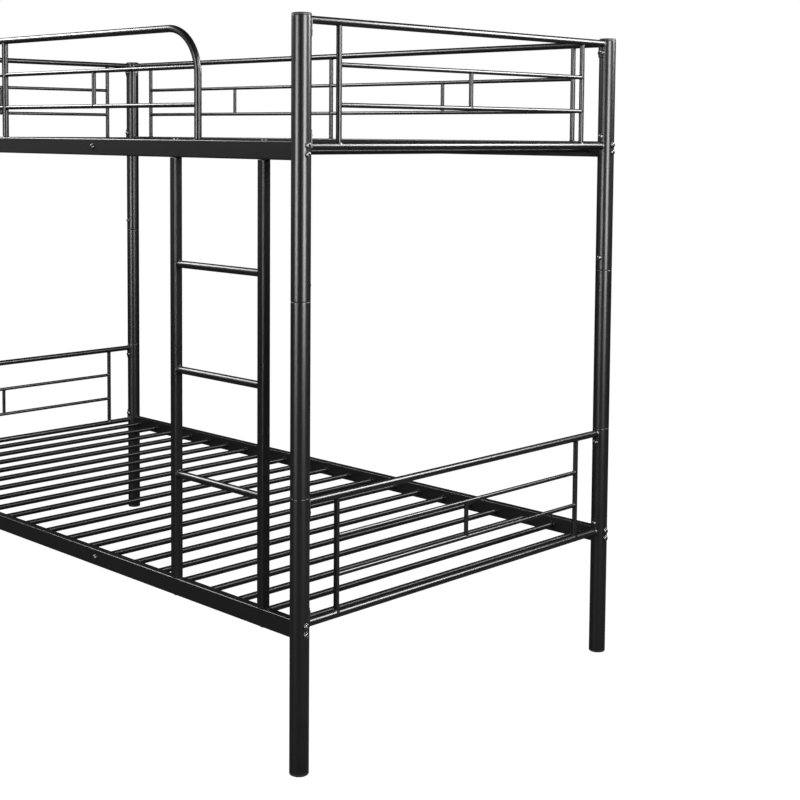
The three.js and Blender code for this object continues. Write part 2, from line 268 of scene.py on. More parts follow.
def pipe(skin: Skin, path: Sequence[Vector], normal: Vector, radius: float,
         wall: float = 0.0, sides: int = ROD_ROUND) -> None:
    """Adds a round bar or tube along a path that lies in one plane.

    Args:
        skin: Where it goes.
        path: The points of its centre line.
        normal: The unit normal of the path's plane.
        radius: Its outer radius.
        wall: Its wall, or 0 for a solid bar.
        sides: How many points a ring has.
    """
    headings = [(b - a).normalized() for a, b in zip(path, path[1:])]
    turns = [(a + b).normalized() for a, b in zip([headings[0], *headings], [*headings, headings[-1]])]

    def surface(size: float) -> list[Ring]:
        """The rings of the outer or the inner surface."""
        return [circle(p, normal, t.cross(normal), size, sides) for p, t in zip(path, turns)]

    inner = surface(radius - wall) if wall else []
    skin.shell([*surface(radius), *reversed(inner)], loop=bool(wall))


@dataclass(frozen=True)
class Weld:
    """The bead round a bar where it is welded to a tube, a plate or a flat face."""

    leg: float = 1.9 * MM
    sink: float = 0.4 * MM
    ripple: float = 0.1 * MM
    ripples_per_mm: float = 0.55
    sides: int = 48
    host_share: float = 0.985

    CURVE = ((0.08, 0.86), (0.38, 0.38), (0.86, 0.08))

    def add(self, skin: Skin, foot: Vector, out: Vector, along: Vector, bar_radius: float,
            host_radius: float = 0.0) -> None:
        """Adds a bead.

        Args:
            skin: Where it goes.
            foot: Where the bar's axis meets the host's axis, or its face where that is flat.
            out: The bar's direction, away from the host.
            along: The host's own direction, at right angles to out.
            bar_radius: The bar's radius.
            host_radius: The host's radius, or 0 where its face is flat.
        """
        over = out.cross(along)
        ripples = round(math.tau * bar_radius / MM * self.ripples_per_mm)
        rings = []
        for n in range(self.sides):
            turn = math.tau * n / self.sides
            leg = self.leg + self.ripple * math.sin(ripples * turn)
            side = math.cos(turn) * along + math.sin(turn) * over

            def point(radius: float, lift: float) -> Vector:
                """The point at a radius from the bar's axis and a lift from the host's surface."""
                reach = min(abs(radius * math.sin(turn)), host_radius * self.host_share)
                surface = math.sqrt(host_radius ** 2 - reach ** 2) if host_radius else 0.0
                return foot + radius * side + (surface + lift) * out

            rings.append([
                point(bar_radius - self.sink, -self.sink),
                point(bar_radius - self.sink, leg),
                *(point(bar_radius + reach * leg, lift * leg) for reach, lift in self.CURVE),
                point(bar_radius + leg, -self.sink),
            ])
        skin.shell(rings, loop=True)


WELD = Weld()
SMALL_WELD = Weld(leg=0.9 * MM, sink=0.3 * MM, ripple=0.05 * MM)


def welded_bar(skin: Skin, ends: Sequence[Vector], host: Vector, radius: float,
               welds: Sequence[Weld], host_radii: Sequence[float]) -> None:
    """Adds a straight bar with a weld at each end.

    Args:
        skin: Where it goes.
        ends: Where the bar's axis starts and ends, on the axes or faces it is welded to.
        host: The direction of what it is welded to.
        radius: The bar's radius.
        welds: The weld at each end.
        host_radii: The radius of what it is welded to at each end, or 0 for a flat face.
    """
    pipe(skin, ends, host, radius)
    out = (ends[1] - ends[0]).normalized()
    for foot, way, weld, host_radius in zip(ends, (out, -out), welds, host_radii):
        weld.add(skin, foot, way, host, radius, host_radius)


@dataclass(frozen=True)
class ClaspPlate:
    """A curved plate that clasps a post, with rounded corners and eased edges."""

    thickness: float = 2.0 * MM
    fit: float = 0.3 * MM
    half_angle: float = 0.5
    height: float = 41.0 * MM
    corner: float = 5.0 * MM
    ease: float = 0.5 * MM
    steps: int = 40

    def face_radius(self, post_radius: float) -> float:
        """How far its outer face lies from the post's axis."""
        return post_radius + self.fit + self.thickness

    def add(self, skin: Skin, post: Vector, post_radius: float, facing: Vector, bottom: float) -> None:
        """Adds a plate.

        Args:
            skin: Where it goes.
            post: A point on the post's axis.
            post_radius: The post's radius.
            facing: The level direction from the post's axis to the plate's middle.
            bottom: The height of its lower edge.
        """
        inner = post_radius + self.fit
        outer = self.face_radius(post_radius)
        centre = math.atan2(facing.y, facing.x)
        rings = []
        worn = []
        for n in range(self.steps + 1):
            share = -math.cos(math.pi * n / self.steps)
            rim = (1 - abs(share)) * self.half_angle * outer
            short = max(self.corner - rim, 0.0)
            inset = self.corner - math.sqrt(self.corner ** 2 - short ** 2)
            angle = centre + share * self.half_angle
            side = Vector((math.cos(angle), math.sin(angle), 0))
            low = bottom + inset
            high = bottom + self.height - inset
            ease = min(self.ease, rim)
            section = [(inner, low), (outer - ease, low), (outer, low + ease),
                       (outer, high - ease), (outer - ease, high), (inner, high)]
            rings.append([Vector((post.x, post.y, z)) + radius * side for radius, z in section])
            worn.append(1.0 if rim < self.ease else 0.0)
        skin.shell(rings, worn=worn)


PLATE = ClaspPlate()


# ---- node trees ----
class Tree:
    """Adds nodes to a node tree and joins them."""

    KINDS = {int: "NodeSocketInt", float: "NodeSocketFloat", tuple: "NodeSocketVector"}
    PER_ROW = 12
    SPACING = (190, -260)

    def __init__(self, tree: bpy.types.NodeTree) -> None:
        """Holds the tree and a count of its nodes, by which they are laid out."""
        self.tree = tree
        self.count = 0

    def node(self, kind: str, inputs: dict[Any, Any] | None = None, **settings: Any) -> bpy.types.Node:
        """Adds a node.

        Args:
            kind: The node's type name.
            inputs: Values, or sockets to link from, by input name or index.
            settings: The node's own properties.

        Returns:
            The node.
        """
        node = self.tree.nodes.new(kind)
        row, column = divmod(self.count, self.PER_ROW)
        node.location = (column * self.SPACING[0], row * self.SPACING[1])
        self.count += 1
        for key, value in settings.items():
            setattr(node, key, value)
        for key, value in (inputs or {}).items():
            if isinstance(value, bpy.types.NodeSocket):
                self.tree.links.new(value, node.inputs[key])
            else:
                node.inputs[key].default_value = value
        return node

    def math(self, operation: str, *values: Any) -> bpy.types.NodeSocket:
        """The result of a Math node on numbers or sockets."""
        return self.node("ShaderNodeMath", dict(enumerate(values)), operation=operation).outputs[0]

    def ramp(self, value: Any, low: float, high: float) -> bpy.types.NodeSocket:
        """A value brought to 0 at its low end and 1 at its high end."""
        inputs = {"Value": value, "From Min": low, "From Max": high}
        return self.node("ShaderNodeMapRange", inputs).outputs[0]

    def sizes(self, defaults: dict[str, Any]) -> None:
        """Adds inputs to the tree's interface, of the kind that each one's default is."""
        for name, default in defaults.items():
            kind = self.KINDS[type(default)]
            socket = self.tree.interface.new_socket(name, in_out="INPUT", socket_type=kind)
            socket.default_value = default

    def socket(self, name: str, in_out: str, kind: str) -> None:
        """Adds a socket without a default to the tree's interface."""
        self.tree.interface.new_socket(name, in_out=in_out, socket_type=kind)


def emptied(owner: bpy.types.Material | bpy.types.World) -> Tree:
    """The node tree of a material or a world, cleared to be built."""
    owner.use_nodes = True
    owner.node_tree.nodes.clear()
    return Tree(owner.node_tree)


class ShapeTree(Tree):
    """A geometry tree that sets one shape on every point and dresses it in a finish."""

    def __init__(self, name: str, defaults: dict[str, Any]) -> None:
        """Starts the tree.

        Args:
            name: The tree's name.
            defaults: The default of each size that it takes.
        """
        super().__init__(bpy.data.node_groups.new(name, "GeometryNodeTree"))
        self.socket("Geometry", "INPUT", "NodeSocketGeometry")
        self.sizes(defaults)
        self.socket("Finish", "INPUT", "NodeSocketMaterial")
        self.socket("Geometry", "OUTPUT", "NodeSocketGeometry")
        self.given = self.node("NodeGroupInput").outputs

    def bar(self, sides: int, radius: Any, length: Any) -> bpy.types.Node:
        """A solid round bar about the middle of its axis."""
        inputs = {"Vertices": sides, "Radius": radius, "Depth": length}
        return self.node("GeometryNodeMeshCylinder", inputs, fill_type="NGON")

    def draw_out(self, mesh: Any, face: Any, rise: Any, scale: Any) -> tuple[Any, Any]:
        """Draws a face out and scales it.

        Args:
            mesh: The geometry so far.
            face: The selection of the face.
            rise: How far the face moves out.
            scale: What its size is multiplied by.

        Returns:
            The geometry and the selection of the moved face.
        """
        raised = self.node("GeometryNodeExtrudeMesh", {
            "Mesh": mesh, "Selection": face, "Offset Scale": rise}, mode="FACES")
        mesh, face = raised.outputs["Mesh"], raised.outputs["Top"]
        scaled = self.node("GeometryNodeScaleElements", {
            "Geometry": mesh, "Selection": face, "Scale": scale}, domain="FACE")
        return scaled.outputs["Geometry"], face

    def scatter(self, points: Any, shape: Any, turn: Any = (0.0, 0.0, 0.0)) -> None:
        """Sets the shape on every point as plain mesh in its finish, and ends the tree.

        Args:
            points: The points.
            shape: The shape's geometry socket.
            turn: How each copy is turned.
        """
        placed = self.node("GeometryNodeInstanceOnPoints", {
            "Points": points, "Instance": shape, "Rotation": turn})
        real = self.node("GeometryNodeRealizeInstances", {"Geometry": placed.outputs[0]})
        dressed = self.node("GeometryNodeSetMaterial", {
            "Geometry": real.outputs[0], "Material": self.given["Finish"]})
        self.node("NodeGroupOutput", {"Geometry": dressed.outputs[0]})

    def grow(self, name: str, base: bpy.types.Mesh, values: dict[str, Any], sharp: float) -> bpy.types.Object:
        """Runs the tree over a base mesh and keeps the result as a plain mesh.

        Args:
            name: The piece's name.
            base: The mesh the tree starts from.
            values: The tree's inputs, by name.
            sharp: The angle in degrees past which an edge is sharp.

        Returns:
            The piece, with no modifier.
        """
        host = bpy.data.objects.new(f"{name}_host", base)
        bpy.context.scene.collection.objects.link(host)
        modifier = host.modifiers.new("grow", "NODES")
        modifier.node_group = self.tree
        sockets = {item.name: item.identifier for item in self.tree.interface.items_tree
                   if item.item_type == "SOCKET" and item.in_out == "INPUT"}
        for key, value in values.items():
            modifier[sockets[key]] = value
        host.update_tag()
        graph = bpy.context.evaluated_depsgraph_get()
        mesh = bpy.data.meshes.new_from_object(host.evaluated_get(graph), depsgraph=graph)
        bpy.data.objects.remove(host)
        mesh.name = name
        smooth(mesh, sharp)
        return placed_piece(name, mesh)


def placed_piece(name: str, mesh: bpy.types.Mesh) -> bpy.types.Object:
    """Makes a mesh into a piece of the scene."""
    piece = bpy.data.objects.new(name, mesh)
    bpy.context.scene.collection.objects.link(piece)
    return piece


class BoltTree(ShapeTree):
    """Sets a flanged button-head bolt with a hexagon socket on each point."""

    SIDES = 36
    FLANGE_WALL = 0.7
    FLANGE_EASE = 0.955
    SOCKET_RIM = 1.28
    DOME_STEPS = 5
    DOME_FULLNESS = 0.8
    TWIST_SEED = 4
    SIZES = {
        "Flange Radius": 7.5 * MM, "Flange Thickness": 1.2 * MM, "Head Radius": 6.0 * MM,
        "Head Height": 3.0 * MM, "Socket Radius": 2.3 * MM, "Socket Depth": 1.9 * MM,
        "Shank Radius": 3.0 * MM, "Shank Length": 6.0 * MM,
    }

    def __init__(self) -> None:
        """Builds the tree."""
        super().__init__("bolts", self.SIZES)
        self.scatter(self.given["Geometry"], self._bolt(), self._facing())

    def _bolt(self) -> bpy.types.NodeSocket:
        """Builds one bolt that stands on z = 0 with its shank below.

        Returns:
            The geometry socket.
        """
        size = self.given
        shank = self.bar(self.SIDES, size["Shank Radius"], size["Shank Length"])
        drop = self.node("ShaderNodeCombineXYZ", {"Z": self.math("MULTIPLY", size["Shank Length"], -0.5)})
        lowered = self.node("GeometryNodeTransform", {
            "Geometry": shank.outputs["Mesh"], "Translation": drop.outputs[0]})
        mesh, top = lowered.outputs["Geometry"], shank.outputs["Top"]
        spread = self.math("DIVIDE", size["Flange Radius"], size["Shank Radius"])
        mesh, top = self.draw_out(mesh, top, 0.0, spread)
        for share, scale in ((self.FLANGE_WALL, 1.0), (1 - self.FLANGE_WALL, self.FLANGE_EASE)):
            rise = self.math("MULTIPLY", size["Flange Thickness"], share)
            mesh, top = self.draw_out(mesh, top, rise, scale)
        eased = self.math("MULTIPLY", size["Flange Radius"], self.FLANGE_EASE)
        mesh, top = self.draw_out(mesh, top, 0.0, self.math("DIVIDE", size["Head Radius"], eased))
        rim = self.math("MULTIPLY", size["Socket Radius"], self.SOCKET_RIM)
        span = self.math("SUBTRACT", size["Head Radius"], rim)
        before, low = size["Head Radius"], 0.0
        for n in range(1, self.DOME_STEPS + 1):
            turn = QUARTER * n / self.DOME_STEPS
            reach = math.cos(turn) ** self.DOME_FULLNESS
            after = self.math("ADD", rim, self.math("MULTIPLY", span, reach))
            rise = self.math("MULTIPLY", size["Head Height"], math.sin(turn) - low)
            mesh, top = self.draw_out(mesh, top, rise, self.math("DIVIDE", after, before))
            before, low = after, math.sin(turn)
        mesh, top = self.draw_out(mesh, top, 0.0, self.math("DIVIDE", size["Socket Radius"], rim))
        mesh = self._hexagon(mesh, top)
        return self.draw_out(mesh, top, self.math("MULTIPLY", size["Socket Depth"], -1.0), 1.0)[0]

    def _hexagon(self, mesh: Any, top: Any) -> bpy.types.NodeSocket:
        """Moves the points of the top face onto a hexagon.

        Args:
            mesh: The geometry so far.
            top: The selection of its top face.

        Returns:
            The geometry socket.
        """
        place = self.node("ShaderNodeSeparateXYZ", {0: self.node("GeometryNodeInputPosition").outputs[0]})
        turn = self.math("ARCTAN2", place.outputs["Y"], place.outputs["X"])
        sixth = math.tau / 6
        wrapped = self.math("FLOORED_MODULO", turn, sixth)
        flat = self.math("COSINE", self.math("SUBTRACT", wrapped, sixth / 2))
        inner = self.math("MULTIPLY", self.given["Socket Radius"], math.cos(sixth / 2))
        radius = self.math("DIVIDE", inner, flat)
        moved = self.node("ShaderNodeCombineXYZ", {
            "X": self.math("MULTIPLY", radius, self.math("COSINE", turn)),
            "Y": self.math("MULTIPLY", radius, self.math("SINE", turn)),
            "Z": place.outputs["Z"]})
        return self.node("GeometryNodeSetPosition", {
            "Geometry": mesh, "Selection": top, "Position": moved.outputs[0]}).outputs[0]

    def _facing(self) -> bpy.types.NodeSocket:
        """The rotation that turns a bolt to face out, twisted by chance about its own axis."""
        facing = self.node("GeometryNodeInputNamedAttribute", {"Name": "facing"}, data_type="FLOAT_VECTOR")
        turn = self.node("FunctionNodeAlignRotationToVector", {
            "Vector": facing.outputs["Attribute"]}, axis="Z")
        twist = self.node("FunctionNodeRandomValue", {"Max": math.tau, "Seed": self.TWIST_SEED},
                          data_type="FLOAT")
        spin = self.node("FunctionNodeAxisAngleToRotation", {
            "Axis": (0.0, 0.0, 1.0), "Angle": twist.outputs["Value"]})
        return self.node("FunctionNodeRotateRotation", {
            "Rotation": turn.outputs[0], "Rotate By": spin.outputs[0]}, rotation_space="LOCAL").outputs[0]


class SlatTree(ShapeTree):
    """Lays a row of round slats, each flared into its welds at both ends."""

    SIDES = 28
    FLARE = ((0.45, 1.03), (0.3, 1.06), (0.25, 1.08))
    SIZES = {"Count": 3, "Start": (0.0, 0.0, 0.0), "Pitch": 90.0 * MM, "Length": 980.0 * MM,
             "Radius": 7.0 * MM, "Weld": 1.8 * MM}

    def __init__(self) -> None:
        """Builds the tree."""
        super().__init__("slats", self.SIZES)
        size = self.given
        bare = self.math("SUBTRACT", size["Length"], self.math("MULTIPLY", size["Weld"], 2.0))
        slat = self.bar(self.SIDES, size["Radius"], bare)
        mesh = slat.outputs["Mesh"]
        for end in ("Top", "Bottom"):
            face = slat.outputs[end]
            for share, scale in self.FLARE:
                mesh, face = self.draw_out(mesh, face, self.math("MULTIPLY", size["Weld"], share), scale)
        lying = self.node("GeometryNodeTransform", {"Geometry": mesh, "Rotation": (QUARTER, 0.0, 0.0)})
        step = self.node("ShaderNodeCombineXYZ", {"X": size["Pitch"]})
        line = self.node("GeometryNodeMeshLine", {
            "Count": size["Count"], "Start Location": size["Start"],
            "Offset": step.outputs[0]}, mode="OFFSET")
        self.scatter(line.outputs[0], lying.outputs[0])


# ---- finishes ----
class ShaderGroups:
    """The surface effects that the finishes share, each a node group built once."""

    def __init__(self) -> None:
        """Builds the groups."""
        self.peel = self._orange_peel()
        self.drift = self._drift()
        self.dust = self._dust()
        self.wear = self._wear()

    @staticmethod
    def _start(name: str, defaults: dict[str, float], result: str) -> tuple[Tree, Any]:
        """Starts a group that takes a place and some sizes and gives one value.

        Args:
            name: The group's name.
            defaults: The default of each size.
            result: The output's name.

        Returns:
            The tree and the outputs of its input node.
        """
        make = Tree(bpy.data.node_groups.new(name, "ShaderNodeTree"))
        make.sizes({"Vector": (0.0, 0.0, 0.0), **defaults})
        make.socket(result, "OUTPUT", "NodeSocketFloat")
        return make, make.node("NodeGroupInput").outputs

    @staticmethod
    def _noise(make: Tree, place: Any, scale: Any, detail: float, roughness: float = 0.5) -> Any:
        """A noise value about 0.5 at a place."""
        inputs = {"Vector": place, "Scale": scale, "Detail": detail, "Roughness": roughness}
        return make.node("ShaderNodeTexNoise", inputs).outputs[0]

    def _orange_peel(self) -> bpy.types.NodeTree:
        """The fine dimples and slow waves of a baked powder coat, as a height in metres."""
        make, size = self._start("orange_peel", {
            "Dimple Scale": 700.0, "Dimple Depth": 0.01 * MM, "Wave Scale": 160.0, "Wave Depth": 0.02 * MM,
        }, "Height")
        cells = make.node("ShaderNodeTexVoronoi", {
            "Vector": size["Vector"], "Scale": size["Dimple Scale"], "Randomness": 1.0,
            "Smoothness": 1.0}, feature="SMOOTH_F1")
        waves = self._noise(make, size["Vector"], size["Wave Scale"], 2.0)
        dimples = make.math("MULTIPLY", cells.outputs["Distance"], size["Dimple Depth"])
        swell = make.math("MULTIPLY", waves, size["Wave Depth"])
        make.node("NodeGroupOutput", {"Height": make.math("ADD", dimples, swell)})
        return make.tree

    def _drift(self) -> bpy.types.NodeTree:
        """A value that wanders slowly over the surface, round a middle value."""
        make, size = self._start("drift", {"Scale": 8.0, "Middle": 0.4, "Spread": 0.04}, "Value")
        noise = self._noise(make, size["Vector"], size["Scale"], 4.0, 0.6)
        swing = make.math("MULTIPLY", make.math("SUBTRACT", noise, 0.5), 2.0)
        value = make.math("MULTIPLY_ADD", swing, size["Spread"], size["Middle"])
        make.node("NodeGroupOutput", {"Value": value})
        return make.tree

    def _dust(self) -> bpy.types.NodeTree:
        """A mask of the fine dust that settles on faces turned up."""
        make, size = self._start("dust", {"Amount": 0.1, "Scale": 120.0}, "Mask")
        normal = make.node("ShaderNodeSeparateXYZ", {0: make.node("ShaderNodeNewGeometry").outputs["Normal"]})
        upward = make.ramp(normal.outputs["Z"], 0.55, 1.0)
        grains = make.ramp(self._noise(make, size["Vector"], size["Scale"], 6.0, 0.7), 0.42, 0.7)
        lying = make.math("MULTIPLY", upward, grains)
        make.node("NodeGroupOutput", {"Mask": make.math("MULTIPLY", lying, size["Amount"])})
        return make.tree

    def _wear(self) -> bpy.types.NodeTree:
        """A broken-up mask along the edges that handling has rubbed."""
        make, size = self._start("wear", {"Edge": 0.0, "Amount": 0.3, "Scale": 90.0}, "Mask")
        broken = make.ramp(self._noise(make, size["Vector"], size["Scale"], 5.0, 0.65), 0.45, 0.75)
        rubbed = make.math("MULTIPLY", size["Edge"], broken)
        make.node("NodeGroupOutput", {"Mask": make.math("MULTIPLY", rubbed, size["Amount"])})
        return make.tree


@dataclass(frozen=True)
class Coat:
    """A finish: a coloured coat with peel or grain, drifting gloss, dust and rubbed edges."""

    name: str
    slot: Slot
    colour: Colour
    tint: Colour
    worn: Colour
    roughness: float
    dimple_scale: float
    dimple_depth: float
    dust: float
    wear: float
    wave_depth: float = 0.01 * MM
    roughness_drift: float = 0.03
    metallic: float = 0.0
    specular: float = 0.5

    TINT_SCALE = 23.0
    TINT_SPREAD = 0.9
    DUSTY = (0.2, 0.195, 0.185)
    DUST_ROUGHNESS = 0.5

    def material(self, groups: ShaderGroups) -> bpy.types.Material:
        """Builds the material.

        Args:
            groups: The shared shader groups.

        Returns:
            The material.
        """
        material = bpy.data.materials.new(self.name)
        make = emptied(material)
        place = make.node("ShaderNodeTexCoord").outputs["Object"]
        edge = make.node("ShaderNodeAttribute", attribute_name=EDGE, attribute_type="GEOMETRY")

        def effect(group: bpy.types.NodeTree, inputs: dict[str, Any]) -> bpy.types.NodeSocket:
            """The value of a shared group at this finish's settings."""
            return make.node("ShaderNodeGroup", {"Vector": place, **inputs}, node_tree=group).outputs[0]

        peel = effect(groups.peel, {"Dimple Scale": self.dimple_scale, "Dimple Depth": self.dimple_depth,
                                    "Wave Depth": self.wave_depth})
        gloss = effect(groups.drift, {"Middle": self.roughness, "Spread": self.roughness_drift})
        shade = effect(groups.drift, {"Scale": self.TINT_SCALE, "Middle": 0.5, "Spread": self.TINT_SPREAD})
        dust = effect(groups.dust, {"Amount": self.dust})
        wear = effect(groups.wear, {"Amount": self.wear, "Edge": edge.outputs["Fac"]})

        base: Any = (*self.colour, 1.0)
        for mask, over in ((shade, self.tint), (wear, self.worn), (dust, self.DUSTY)):
            mix = make.node("ShaderNodeMix", {"Factor": mask, "A": base, "B": (*over, 1.0)}, data_type="RGBA")
            base = mix.outputs["Result"]
        dulled = make.math("MULTIPLY_ADD", dust, self.DUST_ROUGHNESS, gloss)
        bump = make.node("ShaderNodeBump", {"Strength": 1.0, "Distance": 1.0, "Height": peel})
        surface = make.node("ShaderNodeBsdfPrincipled", {
            "Base Color": base, "Roughness": dulled, "Metallic": self.metallic,
            "Specular IOR Level": self.specular, "Normal": bump.outputs[0]})
        make.node("ShaderNodeOutputMaterial", {"Surface": surface.outputs[0]})
        return material


BLACK = (0.0033, 0.0033, 0.0035)
SOOT = (0.005, 0.005, 0.0052)
RUBBED = (0.06, 0.06, 0.062)
COATS = [
    Coat("post_powder_coat", Slot.POST, BLACK, SOOT, RUBBED, roughness=0.3, dimple_scale=620.0,
         dimple_depth=0.005 * MM, wave_depth=0.012 * MM, dust=0.05, wear=0.35),
    Coat("rail_powder_coat", Slot.RAIL, BLACK, SOOT, RUBBED, roughness=0.28, dimple_scale=680.0,
         dimple_depth=0.004 * MM, dust=0.06, wear=0.35),
    Coat("slat_powder_coat", Slot.SLAT, (0.0028, 0.0028, 0.003), (0.0042, 0.0042, 0.0044),
         (0.05, 0.05, 0.052), roughness=0.31, roughness_drift=0.035, dimple_scale=720.0,
         dimple_depth=0.004 * MM, dust=0.05, wear=0.3, specular=0.2),
    Coat("cap_plastic", Slot.CAP, (0.0095, 0.0095, 0.0095), (0.014, 0.014, 0.014), (0.04, 0.04, 0.04),
         roughness=0.52, roughness_drift=0.04, dimple_scale=1100.0, dimple_depth=0.02 * MM,
         dust=0.05, wear=0.25),
    Coat("bolt_black_zinc", Slot.BOLT, (0.13, 0.13, 0.134), (0.18, 0.18, 0.184), (0.3, 0.3, 0.305),
         roughness=0.28, roughness_drift=0.05, dimple_scale=1500.0, dimple_depth=0.006 * MM,
         wave_depth=0.006 * MM, dust=0.03, wear=0.4, metallic=1.0),
]


# ---- pieces ----
class Workshop:
    """Makes pieces, dresses them and ties them to the frame."""

    SHARP = 32.0
    BOLT_SHARP = 28.0
    SLAT_SHARP = 40.0

    def __init__(self) -> None:
        """Builds the finishes and the geometry trees."""
        groups = ShaderGroups()
        self.finishes = {coat.slot: coat.material(groups) for coat in COATS}
        self.bolts = BoltTree()
        self.slats = SlatTree()

    def _settle(self, piece: bpy.types.Object, nodes: Sequence[str]) -> None:
        """Ties a piece to the frame and reports it."""
        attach(piece, BODY)
        if nodes:
            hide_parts(*nodes)
        log.info("%s: %d faces, for %s", piece.name, len(piece.data.polygons), ", ".join(nodes) or "no node")

    def add(self, name: str, skin: Skin, slot: Slot, node: str, sharp: float = SHARP) -> None:
        """Makes a piece of gathered shells.

        Args:
            name: The piece's name.
            skin: Its shells.
            slot: The material slot of its finish.
            node: The frame node it stands for.
            sharp: The angle in degrees past which an edge is sharp.
        """
        mesh = skin.mesh(name, sharp)
        mesh.materials.append(self.finishes[slot])
        self._settle(placed_piece(name, mesh), [node])

    def add_bolts(self, name: str, seats: Sequence[Seat], nodes: Sequence[str] = (), **sizes: float) -> None:
        """Makes a set of bolts as one piece.

        Args:
            name: The piece's name.
            seats: Where each bolt's flange rests, and the way it faces.
            nodes: The frame nodes they stand for.
            sizes: The tree's inputs that differ, with _ for a space.
        """
        base = bpy.data.meshes.new(f"{name}_points")
        base.from_pydata([place for place, _ in seats], [], [])
        facing = base.attributes.new("facing", "FLOAT_VECTOR", "POINT")
        facing.data.foreach_set("vector", [value for _, way in seats for value in way])
        values = {key.replace("_", " ").title(): value for key, value in sizes.items()}
        values["Finish"] = self.finishes[Slot.BOLT]
        self._settle(self.bolts.grow(name, base, values, self.BOLT_SHARP), nodes)

    def add_slats(self, name: str, node: str, values: dict[str, Any]) -> None:
        """Makes a row of slats.

        Args:
            name: The piece's name.
            node: The frame node it stands for.
            values: The slat tree's inputs.
        """
        values["Finish"] = self.finishes[Slot.SLAT]
        base = bpy.data.meshes.new(f"{name}_base")
        self._settle(self.slats.grow(name, base, values, self.SLAT_SHARP), [node])


@dataclass(frozen=True)
class PostColumn:
    """The three posts of a corner, their caps and the bolt that pins the upper joint."""

    corner: Corner
    wall: float = 1.0 * MM
    lip: float = 0.85 * MM
    lip_height: float = 1.6 * MM
    lip_steps: int = 5
    spigot: float = 45.0 * MM
    spigot_gap: float = 0.4 * MM
    spigot_wall: float = 1.2 * MM
    cap_depth: float = 5.0 * MM
    cap_round: float = 2.6 * MM
    cap_steps: int = 7
    cap_eye: float = 0.5 * MM
    barb: float = 0.25 * MM
    barbs: int = 3
    barb_slope: float = 0.4
    plug_taper: float = 1.0 * MM

    @property
    def place(self) -> Vector:
        """A point on the column's axis, at the height of the lower post's middle."""
        return middle(f"lower_post_{self.corner.name}")

    @property
    def radius(self) -> float:
        """The posts' outer radius."""
        low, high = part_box(f"lower_post_{self.corner.name}")
        return (high.x - low.x) / 2

    def axis(self, height: float) -> Vector:
        """The point on the column's axis at a height."""
        return Vector((self.place.x, self.place.y, height))

    def plate_face(self, facing: Vector, height: float, sunk: float = 0.0) -> Vector:
        """The middle of a plate's face at a height, or a point sunk behind it."""
        return self.axis(height) + facing * (PLATE.face_radius(self.radius) - sunk)

    def _tube(self, skin: Skin, bottom: float, top: float) -> None:
        """Adds a post tube with eased lips."""
        radius = self.radius
        bore = radius - self.wall
        turns = [QUARTER * n / self.lip_steps for n in range(self.lip_steps + 1)]
        curl = [(self.lip * (1 - math.sin(t)), self.lip_height * (1 - math.cos(t))) for t in turns]
        straight = 2 * self.lip_height
        profile = [(bore, bottom), *((radius - inset, bottom + rise) for inset, rise in curl),
                   (radius, bottom + straight), (radius, top - straight),
                   *((radius - inset, top - rise) for inset, rise in reversed(curl)), (bore, top)]
        rubbed = [1.0] * len(curl)
        lathe(skin, self.place, profile, worn=[0, *rubbed, 0, 0, *rubbed, 0])

    def _spigot(self, skin: Skin, bottom: float, top: float) -> None:
        """Adds the sleeve that slides into the next post."""
        outer = self.radius - self.wall - self.spigot_gap
        inner = outer - self.spigot_wall
        lathe(skin, self.place, [(inner, bottom), (outer, bottom), (outer, top), (inner, top)])

    def _cap(self, skin: Skin, node: str, inward: int) -> None:
        """Adds a moulded cap with its barbed plug.

        Args:
            skin: Where it goes.
            node: The cap's frame node.
            inward: 1 where the plug points up, -1 where it points down.
        """
        radius = self.radius
        low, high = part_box(node)
        face = low.z if inward > 0 else high.z
        plug = radius - self.wall - self.spigot_gap
        profile = [(self.cap_eye, face), (radius / 2, face)]
        for n in range(self.cap_steps + 1):
            turn = QUARTER * n / self.cap_steps
            out = radius - self.cap_round * (1 - math.sin(turn))
            profile.append((out, face + inward * self.cap_round * (1 - math.cos(turn))))
        rim = face + inward * self.cap_depth
        profile += [(radius, rim), (plug, rim)]
        step = (high.z - low.z - self.cap_depth) / (self.barbs + 1)
        for n in range(1, self.barbs + 1):
            height = rim + inward * n * step
            run_out = height + inward * step * self.barb_slope
            profile += [(plug, height), (plug + self.barb, height), (plug, run_out)]
        end = rim + inward * (self.barbs + 1) * step
        profile += [(plug - self.plug_taper, end), (self.cap_eye, end)]
        lathe(skin, self.place, profile, loop=False)

    def build(self, shop: Workshop) -> None:
        """Makes the column's pieces."""
        name = self.corner.name
        lower, between, upper = (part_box(f"{part}_post_{name}") for part in ("lower", "middle", "upper"))
        shoulder, seat = lower[1].z, upper[0].z
        gap = abs(between[1].z - self.spigot - seat)
        spans = {"lower": (lower[0].z, shoulder), "upper": (seat, upper[1].z),
                 "middle": (shoulder + gap, seat - gap)}
        for part, (bottom, top) in spans.items():
            skin = Skin()
            self._tube(skin, bottom, top)
            if part == "middle":
                self._spigot(skin, between[0].z, shoulder + self.spigot)
                self._spigot(skin, seat - self.spigot, between[1].z)
            shop.add(f"{part}_post_{name}_tube", skin, Slot.POST, f"{part}_post_{name}")
        for part, inward in (("foot", 1), ("top", -1)):
            skin = Skin()
            self._cap(skin, f"{part}_cap_{name}", inward)
            shop.add(f"{part}_cap_{name}_moulding", skin, Slot.CAP, f"{part}_cap_{name}")

    def joint_bolt(self) -> Seat:
        """Where the joint bolt's flange rests, and the way it faces."""
        way = -self.corner.side.out
        bolt = middle(f"joint_bolt_{self.corner.name}")
        return Vector((bolt.x, self.place.y, bolt.z)) + way * self.radius, way


